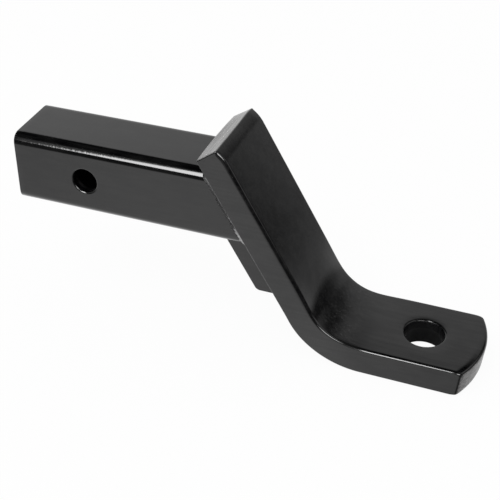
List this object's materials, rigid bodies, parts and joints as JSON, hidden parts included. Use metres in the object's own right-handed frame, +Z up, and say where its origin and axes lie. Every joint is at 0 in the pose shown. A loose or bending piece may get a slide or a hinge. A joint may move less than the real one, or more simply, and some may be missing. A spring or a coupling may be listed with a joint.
{
  "type": "ball mount",
  "caption": "Welded steel ball mount: hollow square shank with a cross hole for a pin, and a bent flat bar that drops to a level platform with a hole for a hitch ball.",
  "frame": {"origin": "where the axis of the hitch pin's hole crosses the centre line of the shank tube", "axes": "+X along the shank towards the ball end, +Y across the mount along the pin hole, +Z up along the ball hole"},
  "size_m": [0.3262, 0.0636, 0.1476],
  "materials": {
    "bar_paint": "gloss black paint over hot-rolled scale, streaked at the sheared ends",
    "tube_paint": "gloss black paint over smooth drawn tube",
    "weld_paint": "gloss black paint over rippled weld beads"
  },
  "bodies": {
    "root": {"shank_tube": "tube_paint", "drawbar": "bar_paint", "stiffener_block": "bar_paint", "tube_weld": "weld_paint", "block_weld_left": "weld_paint", "block_weld_right": "weld_paint", "block_weld_back": "weld_paint"}
  },
  "joints": []
}
